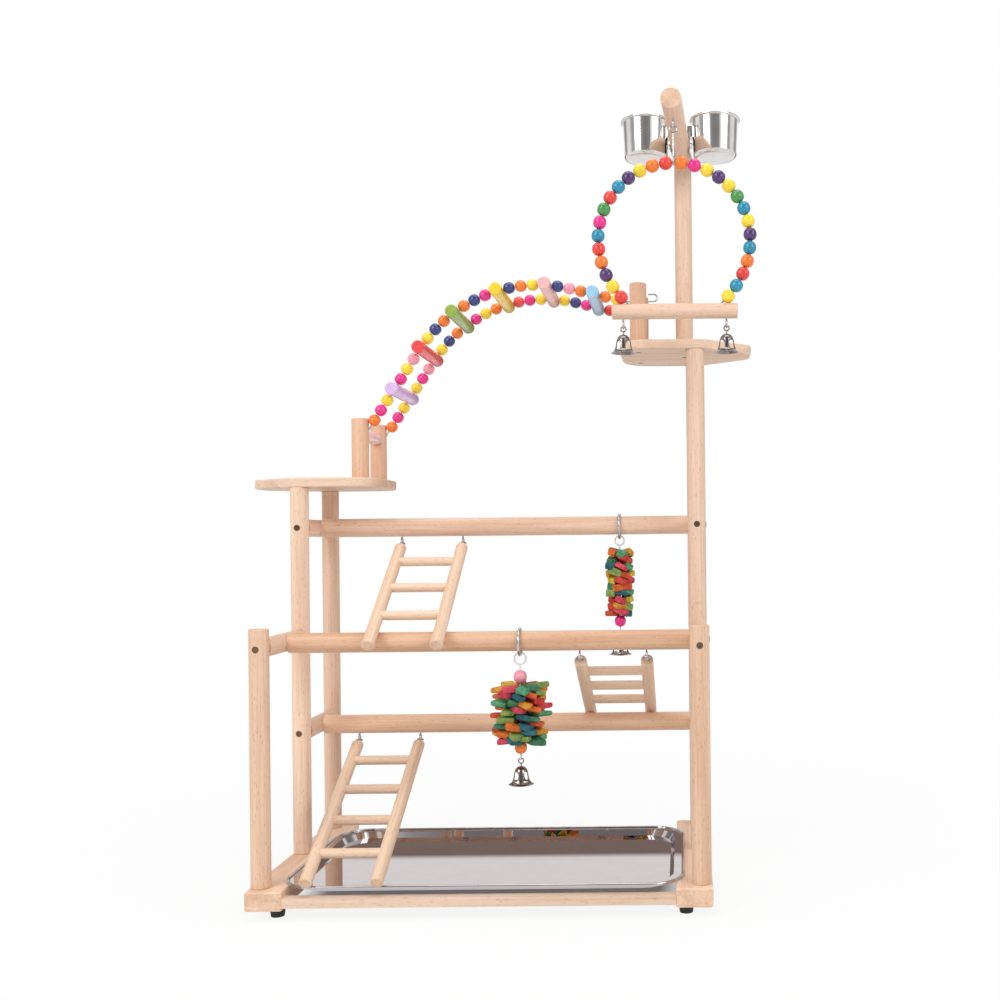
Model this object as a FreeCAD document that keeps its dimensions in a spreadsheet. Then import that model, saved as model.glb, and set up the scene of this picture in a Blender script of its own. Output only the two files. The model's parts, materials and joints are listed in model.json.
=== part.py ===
"""Parrot play stand of round beech sticks, with a bead bridge, a bead swing,
three hanging ladders, two chew toys, two feeding cups and a slide-out tray."""
import FreeCAD, Part
import Sketcher
import math
import os
import re

Vector = FreeCAD.Vector
Rotation = FreeCAD.Rotation
Placement = FreeCAD.Placement
doc = FreeCAD.newDocument("parrot_play_stand")

# Driving sizes: millimetres, degrees and counts. X runs left to right,
# Y from front to back and Z up from the floor, with the origin under the middle.
SIZES = [
    ("post_diameter", 22.5), ("rail_diameter", 22.5), ("bar_diameter", 24),
    ("stick_ease", 0.8), ("seat_depth", 1.5), ("seat_clearance", 0.2),
    ("post_span", 500), ("post_gap_front", 140), ("post_gap_rear", 124),
    ("front_post_rise", 22.5),
    ("lower_bar_height", 184), ("middle_bar_height", 303), ("upper_bar_height", 441.5),
    ("beam_end", 20), ("beam_width", 42), ("beam_thickness", 22),
    ("beam_rounding", 2.5), ("beam_overhang", 12.5),
    ("base_rail_width", 12), ("base_rail_thickness", 11), ("base_rail_drop", 7.5),
    ("front_rail_setback", 1), ("rear_rail_setback", 28),
    ("foot_height", 11), ("foot_diameter", 18), ("foot_taper", 1.5),
    ("foot_inset", 22), ("foot_offset", 18),
    ("screw_shank", 4), ("screw_length", 32), ("screw_head", 7.6), ("screw_head_height", 3),
    ("screw_clearance", 0.15), ("post_screw_recess", 5), ("beam_screw_recess", 6),
    ("rail_screw_recess", 18), ("bar_screw_recess", 1), ("board_screw_recess", 3.5),
    ("left_board_height", 492.5), ("right_board_height", 661), ("board_thickness", 12),
    ("board_length", 169), ("board_width", 147), ("board_inner", 154),
    ("board_tail", 64), ("board_tail_width", 44), ("board_corner", 38),
    ("board_tail_corner", 18), ("board_edge", 2),
    ("stub_diameter", 21.5), ("stub_height", 76), ("stub_reach", 178), ("strand_gap", 86),
    ("spreader_rise", 56),
    ("mast_diameter", 22.5), ("mast_reach", 237),
    ("top_perch_height", 924), ("top_perch_front", 202), ("top_perch_back", 14),
    ("top_perch_turn", 3.9),
    ("wire_diameter", 2.2), ("bead_diameter", 14.9), ("bead_bore", 3.6), ("bead_gap", 0.3),
    ("bridge_radius", 179), ("bridge_center_x", 48.5), ("bridge_center_z", 569.7),
    ("bridge_left_angle", 147), ("bridge_right_angle", 76.5), ("bridge_socket", 12),
    ("rung_diameter", 16.4), ("rung_length", 118), ("rung_count", 6), ("beads_between", 3),
    ("beads_last", 2), ("bridge_bend", 30), ("bridge_loop", 4.6), ("bridge_loop_length", 7),
    ("swing_reach", 169.5), ("swing_radius", 88.5), ("swing_leg_radius", 100),
    ("swing_leg_angle", 49), ("swing_drop", 43), ("swing_beads_per_side", 14),
    ("swing_bead_diameter", 15.4),
    ("swing_perch_diameter", 17.8), ("swing_perch_length", 146), ("swing_socket", 8),
    ("swing_bell_reach", 60),
    ("eye_radius", 4.2), ("eye_wire", 2.2), ("eye_neck", 1), ("eye_shank", 10),
    ("hook_opening", 50), ("link_gap", 0.2),
    ("ladder_width", 80), ("ladder_rail_diameter", 15), ("ladder_rung_diameter", 11.5),
    ("ladder_rung_first", 32), ("ladder_rung_step", 54), ("ladder_rung_socket", 9),
    ("ladder_hook_reach", 10), ("ladder_rest_gap", 0.3),
    ("upper_ladder_x", -96.5), ("upper_ladder_length", 196),
    ("lower_ladder_x", -155), ("lower_ladder_length", 240),
    ("small_ladder_x", 147.5), ("small_ladder_length", 168), ("small_ladder_step", 46),
    ("tray_width", 460), ("tray_depth", 254), ("tray_setback", 10), ("tray_flange", 11),
    ("tray_sheet", 1.2), ("tray_clearance", 0.5), ("tray_draft", 5), ("tray_corner", 42),
    ("tray_rim", 3.2),
    ("cup_radius", 29.8), ("cup_base_radius", 27.4), ("cup_height", 50), ("cup_sheet", 1),
    ("cup_rounding", 6), ("cup_rim", 3.2), ("cup_rise", 33), ("cup_place", 42),
    ("cup_hook_width", 14), ("cup_hook_sheet", 1.2), ("cup_stand_off", 1.3), ("cup_hook_leg", 12),
    ("bracket_sheet", 1.5), ("bracket_width", 16), ("bracket_below", 9), ("bracket_above", 22),
    ("bracket_gap", 0.4), ("bracket_flat", 1), ("bolt_shank", 4), ("bolt_head", 7),
    ("bolt_head_height", 2.4), ("nut_width", 7), ("nut_height", 2.6),
    ("bell_radius", 15), ("bell_height", 21), ("bell_crown", 7), ("bell_waist", 7.8),
    ("bell_rounding", 3.5), ("bell_sheet", 0.9), ("bell_slot", 9), ("bell_slot_height", 15.5),
    ("bell_band", 3.4),
    ("bell_loop", 3), ("bell_wire", 1.6), ("bell_neck", 4), ("clapper_ball", 6), ("clapper_drop", 2),
    ("clapper_gap", 0.4),
    ("hanger_radius", 15.5), ("hanger_wire", 3.5), ("hanger_gap", 0.3),
    ("toy_neck", 6), ("big_toy_x", 36), ("big_toy_loop", 7), ("big_toy_top_bead", 16),
    ("big_toy_rows", 8), ("big_row_step", 8.6), ("big_row_chips", 8), ("big_chip_length", 38),
    ("big_chip_width", 20), ("big_chip_belly", 22), ("big_chip_thickness", 6),
    ("small_toy_x", 149), ("small_toy_loop", 6),
    ("small_toy_rows", 10), ("small_row_step", 8.5), ("small_row_chips", 5), ("small_chip_length", 20),
    ("small_chip_width", 15.5), ("small_chip_belly", 11), ("small_chip_thickness", 6),
    ("chip_hub", 6), ("chip_tilt", 24), ("chip_turn", 6),
]
sheet = doc.addObject("Spreadsheet::Sheet", "Sizes")
for row, (alias, number) in enumerate(SIZES, start=1):
    sheet.set("A%d" % row, alias)
    sheet.set("B%d" % row, str(number))
    sheet.setAlias("B%d" % row, alias)
doc.recompute()
ALIASES = {alias for alias, number in SIZES}

# Places that follow from the driving sizes.
PLACES = {
    "post_x": "post_span / 2",
    "front_y": "-(post_gap_front + post_gap_rear) / 2",
    "middle_y": "front_y + post_gap_front",
    "rear_y": "middle_y + post_gap_rear",
    "front_bay_y": "front_y + post_gap_front / 2",
    "rear_bay_y": "middle_y + post_gap_rear / 2",
    "beam_top": "foot_height + beam_thickness",
    "beam_outer": "post_x + beam_overhang",
    "beam_inner": "beam_outer - beam_width",
    "beam_length": "post_gap_front + post_gap_rear + 2 * beam_end",
    "beam_front": "-beam_length / 2",
    "base_rail_z": "beam_top - base_rail_drop - base_rail_thickness",
    "front_rail_y": "beam_front + front_rail_setback",
    "rear_rail_y": "beam_length / 2 - rear_rail_setback - base_rail_width",
    "post_seat": "post_diameter / 2 - seat_depth",
    "rail_seat": "rail_diameter / 2 - seat_depth",
    "left_board_top": "left_board_height + board_thickness",
    "right_board_top": "right_board_height + board_thickness",
    "front_post_top": "middle_bar_height + front_post_rise",
    "stub_seat": "stub_diameter / 2 - seat_depth",
    "mast_top": "top_perch_height - bar_diameter / 2 + seat_depth",
}


def ex(text):
    """Write an expression out in sheet cells."""
    def swap(match):
        word = match.group(0)
        if word in PLACES:
            return "(" + ex(PLACES[word]) + ")"
        return "Sizes." + word if word in ALIASES else word
    return re.sub(r"[a-z_]+", swap, text)


places = doc.addObject("App::FeaturePython", "Places")
for place in PLACES:
    places.addProperty("App::PropertyFloat", place)
    places.setExpression(place, ex(PLACES[place]))
doc.recompute()


def val(name):
    """The value of a driving size or of a place."""
    return float(sheet.get(name)) if name in ALIASES else getattr(places, name)


SIDES = (("left", -1), ("right", 1))
ALONG = {"X": Rotation(Vector(0, 1, 0), 90), "Y": Rotation(Vector(1, 0, 0), -90), "Z": Rotation()}
nodes = []


def node(piece, label):
    """Name a finished sub-part, which is then written to its own file."""
    piece.Label = label
    nodes.append(piece)
    return piece


def stand(piece, x, y, z, along="Z"):
    """Place a piece at three expressions, its own Z turned along an axis."""
    piece.Placement = Placement(Vector(), ALONG[along])
    for axis, text in zip("xyz", (x, y, z)):
        piece.setExpression("Placement.Base." + axis, ex(text))
    return piece


def sketch_in(body, name):
    sketch = body.newObject("Sketcher::SketchObject", name)
    plane = next(item for item in body.Origin.OriginFeatures if item.Role == "XY_Plane")
    sketch.AttachmentSupport = (plane, "")
    sketch.MapMode = "FlatFace"
    return sketch


def pad_of(body, sketch, name, length):
    pad = body.newObject("PartDesign::Pad", name)
    pad.Profile = sketch
    pad.setExpression("Length", ex(length))
    doc.recompute()
    return pad


def stick(name, diameter, length):
    """A round stick along its own Z with lightly eased ends."""
    body = doc.addObject("PartDesign::Body", name + "_stick")
    section = sketch_in(body, name + "_section")
    section.addGeometry(Part.Circle(Vector(), Vector(0, 0, 1), val("post_diameter")), False)
    section.addConstraint(Sketcher.Constraint("Coincident", 0, 3, -1, 1))
    section.addConstraint(Sketcher.Constraint("Diameter", 0, val("post_diameter")))
    section.setExpression("Constraints[1]", ex(diameter))
    pad = pad_of(body, section, name + "_length", length)
    rims = [i for i, edge in enumerate(pad.Shape.Edges, start=1) if isinstance(edge.Curve, Part.Circle)]
    ease = body.newObject("PartDesign::Chamfer", name + "_ease")
    ease.Base = (pad, ["Edge%d" % i for i in rims])
    ease.setExpression("Size", ex("stick_ease"))
    body.Tip = ease
    return body


def slab(name, outline, thickness):
    """A flat board from corner expressions, padded along its own Z."""
    body = doc.addObject("PartDesign::Body", name + "_slab")
    sketch = sketch_in(body, name + "_outline")
    count = len(outline)
    corners = [Vector(*(float(sheet.evalExpression(ex(text))) for text in corner)) for corner in outline]
    for start, end in zip(corners, corners[1:] + corners[:1]):
        sketch.addGeometry(Part.LineSegment(start, end), False)
    for index in range(count):
        sketch.addConstraint(Sketcher.Constraint("Coincident", index, 2, (index + 1) % count, 1))
    for index, corner in enumerate(outline):
        for kind, text in zip(("DistanceX", "DistanceY"), corner):
            if text == "0":
                axis = -2 if kind == "DistanceX" else -1
                sketch.addConstraint(Sketcher.Constraint("PointOnObject", index, 1, axis))
                continue
            now = corners[index].x if kind == "DistanceX" else corners[index].y
            place = sketch.addConstraint(Sketcher.Constraint(kind, -1, 1, index, 1, now))
            sketch.setExpression("Constraints[%d]" % place, ex(text))
    pad_of(body, sketch, name + "_thickness", thickness)
    return body


def round_edges(body, name, chosen, radius):
    """Round the tip's edges that a test picks."""
    tip = body.Tip
    rounding = body.newObject("PartDesign::Fillet", name)
    rounding.Base = (tip, ["Edge%d" % (i + 1) for i, edge in enumerate(tip.Shape.Edges) if chosen(edge)])
    rounding.setExpression("Radius", ex(radius))
    body.Tip = rounding
    doc.recompute()


def rod(radius, start, direction, length):
    return Part.makeCylinder(radius, length, start, direction)


def eased_rod(radius, start, direction, length):
    """A round stick from a start point, with lightly eased ends."""
    shape = rod(radius, start, direction, length)
    return shape.makeChamfer(val("stick_ease"), [e for e in shape.Edges if isinstance(e.Curve, Part.Circle)])


def segment(*points):
    """A straight edge through two points or an arc through three."""
    curve = Part.LineSegment(*points) if len(points) == 2 else Part.Arc(*points)
    return curve.toShape()


def bent_wire(spine, radius):
    """A round wire drawn along a chain of edges."""
    first = spine.Edges[0]
    start, heading = first.valueAt(first.FirstParameter), first.tangentAt(first.FirstParameter)
    section = Part.Wire([Part.Circle(start, heading, radius).toShape()])
    return spine.makePipeShell([section], True, False)


def ring(radius, wire, center, axis, opening=0):
    """A wire ring, closed or with an opening of some degrees."""
    shape = Part.makeTorus(radius, wire / 2, Vector(), Vector(0, 0, 1), -180, 180, 360 - opening)
    shape.rotate(Vector(), Vector(0, 0, 1), opening / 2)
    shape.Placement = Placement(center, Rotation(Vector(0, 0, 1), axis)).multiply(shape.Placement)
    return shape


def loose(label, shapes, placement=Placement()):
    """A node made of shapes that fit no single feature, such as beads on a wire."""
    piece = doc.addObject("Part::Feature", label)
    piece.Shape = Part.makeCompound(shapes)
    piece.Placement = placement
    return node(piece, label)


def cut_away(name, blank, cutters):
    """What is left of a blank when cutters are taken from it."""
    tool = doc.addObject("Part::Feature", name + "_cutters")
    tool.Shape = Part.makeCompound(cutters)
    piece = doc.addObject("Part::Cut", name)
    piece.Base = blank
    piece.Tool = tool
    return piece


def carved(label, blank, cutters):
    return node(cut_away(label, blank, cutters), label)


# Wood screws: each has the plane under its head and the way it points.
screws = {}


def add_screw(name, seat, direction):
    screws[name] = (Vector(*seat), Vector(*direction))


def screw_solid(seat, direction):
    shank = rod(val("screw_shank") / 2, seat, direction, val("screw_length"))
    head = rod(val("screw_head") / 2, seat, direction * -1, val("screw_head_height"))
    return head.fuse(shank).removeSplitter()


def screw_hole(name):
    seat, direction = screws[name]
    room = val("screw_clearance")
    shank = rod(val("screw_shank") / 2 + room, seat, direction, val("screw_length") + room)
    depth = val("rail_screw_recess") + val("screw_head")
    head = rod(val("screw_head") / 2 + room, seat, direction * -1, depth)
    return head.fuse(shank)


def flat_seat(axis_point, direction, diameter, seat):
    """A flat bored into the side of a round stick, where another stick's end sits."""
    start = axis_point + direction * seat
    return rod(diameter / 2 + val("seat_clearance"), start, direction, diameter)


# Base: two beams front to back, two thin cross rails and four rubber feet.
post_rows = (("front", val("front_y")), ("middle", val("middle_y")), ("rear", val("rear_y")))
base_rails = (("front", val("front_rail_y"), "front_rail_y"), ("rear", val("rear_rail_y"), "rear_rail_y"))
feet = []
for side, sign in SIDES:
    beam_holes = []
    for row, y in post_rows:
        name = "post_%s_%s" % (row, side)
        add_screw(name, (sign * val("post_x"), y, val("foot_height") + val("beam_screw_recess")), (0, 0, 1))
        beam_holes.append(screw_hole(name))
    for row, y, text in base_rails:
        name = "base_%s_%s" % (row, side)
        x = sign * (val("beam_outer") - val("rail_screw_recess"))
        z = val("base_rail_z") + val("base_rail_thickness") / 2
        add_screw(name, (x, y + val("base_rail_width") / 2, z), (-sign, 0, 0))
        beam_holes.append(screw_hole(name))
    corners = (("0", "0"), ("beam_width", "0"), ("beam_width", "beam_length"), ("0", "beam_length"))
    beam = slab("base_beam_" + side, corners, "beam_thickness")
    round_edges(beam, "base_beam_%s_rounding" % side, lambda edge: True, "beam_rounding")
    stand(beam, "-beam_outer" if sign < 0 else "beam_inner", "beam_front", "foot_height")
    carved("base_beam_" + side, beam, beam_holes)
    for end, turn in (("front", "-"), ("rear", "")):
        foot = doc.addObject("Part::Cone", "foot_%s_%s" % (end, side))
        foot.setExpression("Radius1", ex("foot_diameter / 2 - foot_taper"))
        foot.setExpression("Radius2", ex("foot_diameter / 2"))
        foot.setExpression("Height", ex("foot_height"))
        x = "-(post_x - foot_offset)" if sign < 0 else "post_x - foot_offset"
        feet.append(stand(foot, x, turn + "(beam_length / 2 - foot_inset)", "0"))
for row, y, text in base_rails:
    strip = doc.addObject("Part::Box", "base_rail_%s_strip" % row)
    strip.setExpression("Length", ex("2 * beam_inner"))
    strip.setExpression("Width", ex("base_rail_width"))
    strip.setExpression("Height", ex("base_rail_thickness"))
    stand(strip, "-beam_inner", text, "base_rail_z")
    carved("base_rail_" + row, strip, [screw_hole("base_%s_%s" % (row, side)) for side, sign in SIDES])
rubber = doc.addObject("Part::Compound", "rubber_feet")
rubber.Links = feet
node(rubber, "rubber_feet")

# Side frames: three posts a side, tied by short rails that carry the perch bars.
RAIL_ROWS = (
    ("front", "middle_bar_height", "front_y", "middle_y", "front_bay_y"),
    ("upper", "upper_bar_height", "middle_y", "rear_y", "rear_bay_y"),
    ("lower", "lower_bar_height", "middle_y", "rear_y", "rear_bay_y"),
)
sideways = Vector(1, 0, 0)
back = Vector(0, 1, 0)
up = Vector(0, 0, 1)
post_cuts = {(side, row): [screw_hole("post_%s_%s" % (row, side))] for side, sign in SIDES
             for row, y in post_rows}
for side, sign in SIDES:
    rails = []
    for row, height, start_y, end_y, bay_y in RAIL_ROWS:
        x, z = sign * val("post_x"), val(height)
        inset = val("post_diameter") / 2 - val("post_screw_recess")
        outer = sign * (val("post_x") + val("rail_diameter") / 2 - val("bar_screw_recess"))
        name = "rail_%s_%s" % (row, side)
        add_screw(name + "_front", (x, val(start_y) - inset, z), (0, 1, 0))
        add_screw(name + "_back", (x, val(end_y) + inset, z), (0, -1, 0))
        add_screw("bar_%s_%s" % (row, side), (outer, val(bay_y), z), (-sign, 0, 0))
        for end, post_y, way in (("front", start_y, back), ("back", end_y, back * -1)):
            seat = flat_seat(Vector(x, val(post_y), z), way, val("rail_diameter"), val("post_seat"))
            post_cuts[side, post_y[:-2]] += [seat, screw_hole("%s_%s" % (name, end))]
        blank = stick(name, "rail_diameter", "%s - %s - 2 * post_seat" % (end_y, start_y))
        stand(blank, "-post_x" if sign < 0 else "post_x", start_y + " + post_seat", height, "Y")
        holes = [screw_hole(name + "_front"), screw_hole(name + "_back")]
        holes.append(screw_hole("bar_%s_%s" % (row, side)))
        bay = Vector(x, val(bay_y), z)
        holes.append(flat_seat(bay, Vector(-sign, 0, 0), val("bar_diameter"), val("rail_seat")))
        rails.append(cut_away(name, blank, holes))
    group = doc.addObject("Part::Compound", "side_rails_" + side)
    group.Links = rails
    node(group, "side_rails_" + side)

# Boards on the tall posts: rounded inside, drawn in to a narrower tail outside.
board_y = val("rear_bay_y")
stub_rows = (("front", board_y - val("strand_gap") / 2), ("rear", board_y + val("strand_gap") / 2))


def upright(edge):
    return abs(edge.tangentAt(edge.FirstParameter).z) > 0.9


def on_tail(edge):
    return upright(edge) and edge.CenterOfMass.x > val("board_length") - val("board_edge")


def on_corner(edge):
    sides = (0, val("board_width"))
    return upright(edge) and min(abs(edge.CenterOfMass.y - y) for y in sides) < val("board_edge")


for side, sign in SIDES:
    base, top = side + "_board_height", val(side + "_board_top")
    below = val(base) + val("board_screw_recess")
    holes = []
    for row in ("middle", "rear"):
        name = "board_%s_%s" % (row, side)
        seat = (sign * val("post_x"), val(row + "_y"), top - val("board_screw_recess"))
        add_screw(name, seat, (0, 0, -1))
        holes.append(screw_hole(name))
        post_cuts[side, row].append(screw_hole(name))
    for row, y in stub_rows:
        add_screw("stub_%s_%s" % (row, side), (sign * val("stub_reach"), y, below), (0, 0, 1))
        holes.append(screw_hole("stub_%s_%s" % (row, side)))
    if side == "right":
        add_screw("mast_foot", (val("mast_reach"), board_y, below), (0, 0, 1))
        holes.append(screw_hole("mast_foot"))
    shoulder = "board_length - board_tail"
    outline = (("0", "0"), (shoulder, "0"),
               ("board_length", "(board_width - board_tail_width) / 2"),
               ("board_length", "(board_width + board_tail_width) / 2"),
               (shoulder, "board_width"), ("0", "board_width"))
    board = slab("board_" + side, outline, "board_thickness")
    round_edges(board, "board_%s_tail" % side, on_tail, "board_tail_corner")
    round_edges(board, "board_%s_corners" % side, on_corner, "board_corner")
    round_edges(board, "board_%s_edge" % side, lambda edge: not upright(edge), "board_edge")
    if sign > 0:
        stand(board, "board_inner", "rear_bay_y - board_width / 2", base)
    else:
        stand(board, "-board_inner", "rear_bay_y + board_width / 2", base)
        board.Placement = Placement(board.Placement.Base, Rotation(up, 180))
    carved("platform_" + side, board, holes)

# Posts: short ones in front, tall ones up to the boards.
for side, sign in SIDES:
    for row, y in post_rows:
        name = "%s_post_%s" % (row, side)
        tall = side + "_board_height - beam_top"
        blank = stick(name, "post_diameter", "front_post_top - beam_top" if row == "front" else tall)
        stand(blank, "-post_x" if sign < 0 else "post_x", row + "_y", "beam_top")
        carved(name, blank, post_cuts[side, row])

# Screw eyes under the bars and the top perch; what hangs in one turns about its own wire.
eye_wire = val("eye_wire")
eye_drop = val("eye_neck") + val("eye_radius") + eye_wire / 2


def hang(radius, wire, hung_wire):
    """How far below the middle of a ring a wire hung in it lies."""
    return radius - wire / 2 - hung_wire / 2 - val("link_gap")


def screw_eye(top):
    """A wire eye in the YZ plane, its shank driven up into wood whose underside is at top."""
    loop = ring(val("eye_radius"), eye_wire, top - up * eye_drop, sideways)
    start = top - up * (val("eye_neck") + eye_wire / 2)
    return loop.fuse(rod(eye_wire / 2, start, up, val("eye_shank"))).removeSplitter()


def eye_hole(top):
    room = val("screw_clearance")
    start = top - up * val("eye_neck")
    return rod(eye_wire / 2 + room, start, up, val("eye_shank") - eye_wire / 2 + room)


LADDERS = (
    ("upper", "upper", "rear_bay_y", -1),
    ("lower", "lower", "rear_bay_y", -1),
    ("small", "middle", "front_bay_y", 1),
)
hook_drop = eye_drop + hang(val("eye_radius"), eye_wire, eye_wire)
eyes = []
bar_holes = {"upper": [], "lower": [], "middle": []}
ladder_pivots = {}
for ladder, bar, bay_y, way in LADDERS:
    under = val(bar + "_bar_height") - val("bar_diameter") / 2
    ladder_pivots[ladder] = Vector(val(ladder + "_ladder_x"), val(bay_y), under - hook_drop)
    for sign in (-1, 1):
        top = Vector(val(ladder + "_ladder_x") + sign * val("ladder_width") / 2, val(bay_y), under)
        eyes.append(screw_eye(top))
        bar_holes[bar].append(eye_hole(top))
for bar, row, bay_y in (("middle", "front", "front_bay_y"), ("upper", "upper", "rear_bay_y"),
                        ("lower", "lower", "rear_bay_y")):
    blank = stick(bar + "_bar", "bar_diameter", "2 * (post_x - rail_seat)")
    stand(blank, "-(post_x - rail_seat)", bay_y, bar + "_bar_height", "X")
    bar_holes[bar] += [screw_hole("bar_%s_%s" % (row, side)) for side, sign in SIDES]
    carved(bar + "_perch_bar", blank, bar_holes[bar])

# Bead bridge: two wires bent over one arch, threaded with beads and cross rungs.
arch_center = Vector(val("bridge_center_x"), 0, val("bridge_center_z"))
arch_start = math.radians(val("bridge_left_angle"))
arch_end = math.radians(val("bridge_right_angle"))


def arch_point(angle):
    return arch_center + Vector(math.cos(angle), 0, math.sin(angle)) * val("bridge_radius")


def arch_heading(angle):
    return Vector(math.sin(angle), 0, -math.cos(angle))


stub_face = val("stub_reach") - val("stub_diameter") / 2
left_run = (arch_point(arch_start).x + stub_face) / arch_heading(arch_start).x
arch_length = (arch_start - arch_end) * val("bridge_radius")


def bridge_at(along):
    """Point and heading on a strand, measured along it from the left stub's face."""
    if along < left_run:
        heading = arch_heading(arch_start)
        return arch_point(arch_start) - heading * (left_run - along), heading
    if along > left_run + arch_length:
        heading = arch_heading(arch_end)
        return arch_point(arch_end) + heading * (along - left_run - arch_length), heading
    angle = arch_start - (along - left_run) / val("bridge_radius")
    return arch_point(angle), arch_heading(angle)


def bead(diameter, center, heading):
    hole = rod(val("bead_bore") / 2, center - heading * diameter, heading, 2 * diameter)
    return Part.makeSphere(diameter / 2, center, heading).cut(hole)


wire_radius = val("wire_diameter") / 2
first = bridge_at(-val("bridge_socket"))[0]
exit_heading = arch_heading(arch_end)
droop = math.pi / 2 - arch_end
bend_x = stub_face - val("bridge_bend") * math.sin(droop)
bend_start = arch_point(arch_end) + exit_heading * ((bend_x - arch_point(arch_end).x) / exit_heading.x)
bend_center = bend_start + Vector(math.sin(droop), 0, math.cos(droop)) * val("bridge_bend")


def bend_point(angle):
    return bend_center - Vector(math.sin(angle), 0, math.cos(angle)) * val("bridge_bend")


stub_entry = bend_point(0)
loop_rise = val("bridge_loop")
loop_near = stub_entry + sideways * (val("stub_diameter") + val("wire_diameter"))
loop_far = loop_near + sideways * val("bridge_loop_length")
strand = bent_wire(Part.Wire([
    segment(first, arch_point(arch_start)),
    segment(arch_point(arch_start), arch_point((arch_start + arch_end) / 2), arch_point(arch_end)),
    segment(arch_point(arch_end), bend_start),
    segment(bend_start, bend_point(droop / 2), stub_entry),
    segment(stub_entry, loop_far),
    segment(loop_far, loop_far + (sideways + up) * loop_rise, loop_far + up * (2 * loop_rise)),
    segment(loop_far + up * (2 * loop_rise), loop_near + up * (2 * loop_rise)),
]), wire_radius)
strand_offsets = [Vector(0, y, 0) for row, y in stub_rows]
bridge_wires, bridge_beads, bridge_rungs = [], [], []
bead_radius = val("bead_diameter") / 2
along = (bead_radius + val("bead_gap")) / arch_heading(arch_start).x - bead_radius
rung_spots = []
bead_spots = []
groups = [int(val("beads_between"))] * int(val("rung_count")) + [int(val("beads_last"))]
for group, beads_here in enumerate(groups):
    for count in range(beads_here):
        bead_spots.append(bridge_at(along + bead_radius))
        along += val("bead_diameter") + val("bead_gap")
    if group < int(val("rung_count")):
        rung_spots.append(bridge_at(along + val("rung_diameter") / 2))
        along += val("rung_diameter") + val("bead_gap")
for offset in strand_offsets:
    bridge_wires.append(strand.translated(offset))
    bridge_beads += [bead(val("bead_diameter"), spot + offset, heading) for spot, heading in bead_spots]
for spot, heading in rung_spots:
    center = spot + Vector(0, board_y, 0)
    start = center - back * (val("rung_length") / 2)
    shape = eased_rod(val("rung_diameter") / 2, start, back, val("rung_length"))
    bores = [rod(val("bead_bore") / 2, spot + offset - heading * val("rung_diameter"), heading,
                 2 * val("rung_diameter")) for offset in strand_offsets]
    bridge_rungs.append(shape.cut(Part.makeCompound(bores)))
spreader_z = val("left_board_top") + val("spreader_rise")
spreader_half = val("strand_gap") / 2 - val("stub_seat")
spreader_start = Vector(-val("stub_reach"), board_y - spreader_half, spreader_z)
bridge_rungs.append(eased_rod(val("rung_diameter") / 2, spreader_start, back, 2 * spreader_half))
loose("bridge_wires", bridge_wires)
loose("bridge_beads", bridge_beads)
loose("bridge_rungs", bridge_rungs)

# Stubs that hold the bridge wires, standing on the boards.
socket_left = rod(wire_radius + val("screw_clearance"), first - arch_heading(arch_start),
                  arch_heading(arch_start), val("bridge_socket") + val("stub_diameter"))
socket_right = rod(wire_radius + val("screw_clearance"), stub_entry - sideways * val("stub_diameter"),
                   sideways, 3 * val("stub_diameter"))
for side, sign in SIDES:
    stubs = []
    for (row, y), offset in zip(stub_rows, strand_offsets):
        name = "stub_%s_%s" % (row, side)
        blank = stick(name, "stub_diameter", "stub_height")
        turn = " - strand_gap / 2" if row == "front" else " + strand_gap / 2"
        stand(blank, "-stub_reach" if sign < 0 else "stub_reach", "rear_bay_y" + turn, side + "_board_top")
        socket = socket_left if sign < 0 else socket_right
        holes = [socket.translated(offset), screw_hole(name)]
        if sign < 0:
            inward = back if row == "front" else back * -1
            seat = Vector(-val("stub_reach"), y, spreader_z)
            holes.append(flat_seat(seat, inward, val("rung_diameter"), val("stub_seat")))
        stubs.append(cut_away(name, blank, holes))
    group = doc.addObject("Part::Compound", "bridge_stubs_" + side)
    group.Links = stubs
    node(group, "bridge_stubs_" + side)

# Mast on the right board, with the top perch screwed across its end.
perch_radius = val("bar_diameter") / 2
perch_screw_z = val("top_perch_height") + perch_radius - val("post_screw_recess")
perch_screw = Vector(val("mast_reach"), board_y, perch_screw_z)
add_screw("perch_top", perch_screw, (0, 0, -1))
blank = stick("mast_stick", "mast_diameter", "mast_top - right_board_top")
stand(blank, "mast_reach", "rear_bay_y", "right_board_top")
carved("mast", blank, [screw_hole("mast_foot"), screw_hole("perch_top")])

perch_frame = Placement(Vector(val("mast_reach"), board_y, val("top_perch_height")),
                        Rotation(up, -val("top_perch_turn")))
perch_length = val("top_perch_front") + val("top_perch_back")
perch_shape = eased_rod(perch_radius, back * -val("top_perch_front"), back, perch_length)
flat = perch_radius - val("bracket_flat")
bolt_spot = Vector(0, -val("cup_place"), 0)
perch_cuts = [flat_seat(Vector(), up * -1, val("mast_diameter"), perch_radius - val("seat_depth"))]
flat_width = val("bracket_width") + 2 * val("seat_clearance")
for side, sign in SIDES:
    corner = Vector(flat if sign > 0 else -flat - perch_radius, bolt_spot.y - flat_width / 2, -perch_radius)
    perch_cuts.append(Part.makeBox(perch_radius, flat_width, 2 * perch_radius, corner))
bolt_room = val("bolt_shank") / 2 + val("screw_clearance")
bolt_hole = rod(bolt_room, bolt_spot - sideways * val("bar_diameter"), sideways, 2 * val("bar_diameter"))
swing_top = Vector(0, -val("swing_reach"), -perch_radius)
top_hole = screw_hole("perch_top")
top_hole.Placement = perch_frame.inverse().multiply(top_hole.Placement)
perch_cuts += [bolt_hole, eye_hole(swing_top), top_hole]
loose("top_perch", [perch_shape.cut(Part.makeCompound(perch_cuts))], perch_frame)
loose("wood_screws", [screw_solid(seat, direction) for seat, direction in screws.values()])

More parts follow.
